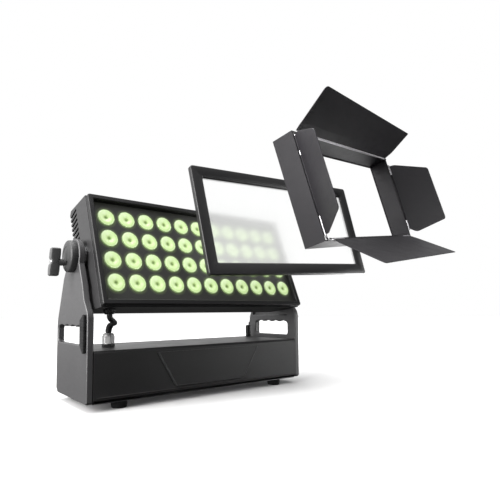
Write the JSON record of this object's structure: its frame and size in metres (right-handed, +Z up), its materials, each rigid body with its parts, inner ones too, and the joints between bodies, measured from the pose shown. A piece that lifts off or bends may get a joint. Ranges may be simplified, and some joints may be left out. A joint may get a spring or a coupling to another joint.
{
  "type": "led wash light",
  "caption": "LED wash light: tilting lens-array head on a floor base with side arms, with a slide-off diffusion frame and a barn door with hinged leaves.",
  "frame": {"origin": "middle of the pad on the underside of the base, straight below the middle of the two side arms; the rubber feet reach 12 mm below it", "axes": "+X to the right seen from the front, -Y the front of the base, +Z up"},
  "size_m": [0.909, 0.5156, 0.5934],
  "materials": {
    "base_shell": "satin",
    "base_bottom_plate": "matte",
    "foot_left_front": "matte",
    "foot_left_rear": "matte",
    "foot_right_front": "matte",
    "foot_right_rear": "matte",
    "arm_left": "satin",
    "arm_right": "satin",
    "arm_boss_left": "matte",
    "arm_boss_right": "matte",
    "hand_grip_left": "matte",
    "hand_grip_right": "matte",
    "base_gland": "polished",
    "vent_plug": "matte",
    "control_panel": "satin",
    "display_window": "gloss",
    "power_in": "satin",
    "power_out": "satin",
    "data_in": "satin",
    "data_out": "satin",
    "safety_eye": "satin",
    "power_supply": "satin",
    "control_board": "satin",
    "head_cable": "matte",
    "button_menu": "matte",
    "button_up": "matte",
    "button_down": "matte",
    "button_enter": "matte",
    "wing_screw_left": "satin",
    "wing_screw_right": "satin",
    "head_housing": "satin",
    "front_bezel": "satin",
    "rear_cover": "satin",
    "lens_plate": "satin",
    "lens_array": "gloss",
    "led_board": "satin",
    "heat_sink": "satin",
    "head_gland": "matte",
    "pivot_shaft_left": "satin",
    "pivot_shaft_right": "satin",
    "frame_stud": "satin",
    "filter_frame": "satin",
    "frost_sheet": "matte",
    "sheet_retainer": "matte",
    "barn_stud": "satin",
    "barn_frame": "satin",
    "hinge_rod_top": "polished",
    "hinge_rod_bottom": "polished",
    "hinge_rod_left": "polished",
    "hinge_rod_right": "polished",
    "friction_screw_top": "satin",
    "friction_screw_bottom": "satin",
    "leaf_top": "matte",
    "leaf_bottom": "matte",
    "leaf_left": "matte",
    "leaf_right": "matte"
  },
  "bodies": {
    "base": {"base_shell": "base_shell", "base_bottom_plate": "base_bottom_plate", "foot_left_front": "foot_left_front", "foot_left_rear": "foot_left_rear", "foot_right_front": "foot_right_front", "foot_right_rear": "foot_right_rear", "arm_left": "arm_left", "arm_right": "arm_right", "arm_boss_left": "arm_boss_left", "arm_boss_right": "arm_boss_right", "hand_grip_left": "hand_grip_left", "hand_grip_right": "hand_grip_right", "base_gland": "base_gland", "vent_plug": "vent_plug", "control_panel": "control_panel", "display_window": "display_window", "power_in": "power_in", "power_out": "power_out", "data_in": "data_in", "data_out": "data_out", "safety_eye": "safety_eye", "power_supply": "power_supply", "control_board": "control_board", "head_cable": "head_cable"},
    "button_menu": {"button_menu": "button_menu"},
    "button_up": {"button_up": "button_up"},
    "button_down": {"button_down": "button_down"},
    "button_enter": {"button_enter": "button_enter"},
    "wing_screw_left": {"wing_screw_left": "wing_screw_left"},
    "wing_screw_right": {"wing_screw_right": "wing_screw_right"},
    "head": {"head_housing": "head_housing", "front_bezel": "front_bezel", "rear_cover": "rear_cover", "lens_plate": "lens_plate", "lens_array": "lens_array", "led_board": "led_board", "heat_sink": "heat_sink", "head_gland": "head_gland", "pivot_shaft_left": "pivot_shaft_left", "pivot_shaft_right": "pivot_shaft_right"},
    "frame_catch": {"frame_stud": "frame_stud"},
    "diffusion_frame": {"filter_frame": "filter_frame", "frost_sheet": "frost_sheet", "sheet_retainer": "sheet_retainer"},
    "barn_catch": {"barn_stud": "barn_stud"},
    "barn_door": {"barn_frame": "barn_frame", "hinge_rod_top": "hinge_rod_top", "hinge_rod_bottom": "hinge_rod_bottom", "hinge_rod_left": "hinge_rod_left", "hinge_rod_right": "hinge_rod_right", "friction_screw_top": "friction_screw_top", "friction_screw_bottom": "friction_screw_bottom"},
    "leaf_top": {"leaf_top": "leaf_top"},
    "leaf_bottom": {"leaf_bottom": "leaf_bottom"},
    "leaf_left": {"leaf_left": "leaf_left"},
    "leaf_right": {"leaf_right": "leaf_right"}
  },
  "joints": [
    {"name": "head_tilt", "type": "hinge", "parent": "base", "child": "head", "pos_m": [0, -0.02, 0.252], "axis": [-1, 0, 0], "range_deg": [-30, 65], "deforming": ["head_cable"]},
    {"name": "diffusion_frame_slide", "type": "slide", "parent": "head", "child": "frame_catch", "axis": [-0.907, 0.1322, -0.3998], "range_m": [0, 0.2148]},
    {"name": "diffusion_frame_turn", "type": "hinge", "parent": "frame_catch", "child": "diffusion_frame", "pos_m": [0.40682, -0.1241, 0.31422], "axis": [-0.9321, 0.3227, 0.1646], "range_deg": [-0.1, 9.97]},
    {"name": "barn_door_slide", "type": "slide", "parent": "diffusion_frame", "child": "barn_catch", "axis": [-0.461, 0.8124, -0.3571], "range_m": [0, 0.12723]},
    {"name": "barn_door_turn", "type": "hinge", "parent": "barn_catch", "child": "barn_door", "pos_m": [0.24628, -0.20534, 0.50093], "axis": [-0.0548, 0.3445, -0.9372], "range_deg": [-0.1, 14.78]},
    {"name": "leaf_top_hinge", "type": "hinge", "parent": "barn_door", "child": "leaf_top", "pos_m": [0.2545, -0.24309, 0.49887], "axis": [0.9688, 0.2034, 0.1415], "range_deg": [-55, 90]},
    {"name": "leaf_bottom_hinge", "type": "hinge", "parent": "barn_door", "child": "leaf_bottom", "pos_m": [0.29117, -0.28309, 0.30533], "axis": [-0.9688, -0.2034, -0.1415], "range_deg": [-45, 100]},
    {"name": "leaf_left_hinge", "type": "hinge", "parent": "barn_door", "child": "leaf_left", "pos_m": [0.06599, -0.30651, 0.37189], "axis": [0.1824, -0.199, -0.9629], "range_deg": [-108, 37]},
    {"name": "leaf_right_hinge", "type": "hinge", "parent": "barn_door", "child": "leaf_right", "pos_m": [0.47968, -0.21967, 0.43231], "axis": [-0.1824, 0.199, 0.9629], "range_deg": [-126, 19]},
    {"name": "wing_screw_left_turn", "type": "hinge", "parent": "base", "child": "wing_screw_left", "pos_m": [-0.2752, -0.02, 0.2405], "axis": [1, 0, 0], "continuous": true},
    {"name": "wing_screw_right_turn", "type": "hinge", "parent": "base", "child": "wing_screw_right", "pos_m": [0.2752, -0.02, 0.2405], "axis": [1, 0, 0], "continuous": true},
    {"name": "button_menu_press", "type": "slide", "parent": "base", "child": "button_menu", "axis": [0, -1, 0], "range_m": [0, 0.0012], "stiffness_N_per_m": 300, "springref_m": -0.0008},
    {"name": "button_up_press", "type": "slide", "parent": "base", "child": "button_up", "axis": [0, -1, 0], "range_m": [0, 0.0012], "stiffness_N_per_m": 300, "springref_m": -0.0008},
    {"name": "button_down_press", "type": "slide", "parent": "base", "child": "button_down", "axis": [0, -1, 0], "range_m": [0, 0.0012], "stiffness_N_per_m": 300, "springref_m": -0.0008},
    {"name": "button_enter_press", "type": "slide", "parent": "base", "child": "button_enter", "axis": [0, -1, 0], "range_m": [0, 0.0012], "stiffness_N_per_m": 300, "springref_m": -0.0008}
  ],
  "couplings": [
    {"joint": "diffusion_frame_turn", "follows": "diffusion_frame_slide", "rad_per_m": 0.8018},
    {"joint": "barn_door_turn", "follows": "barn_door_slide", "rad_per_m": 2.0134}
  ]
}
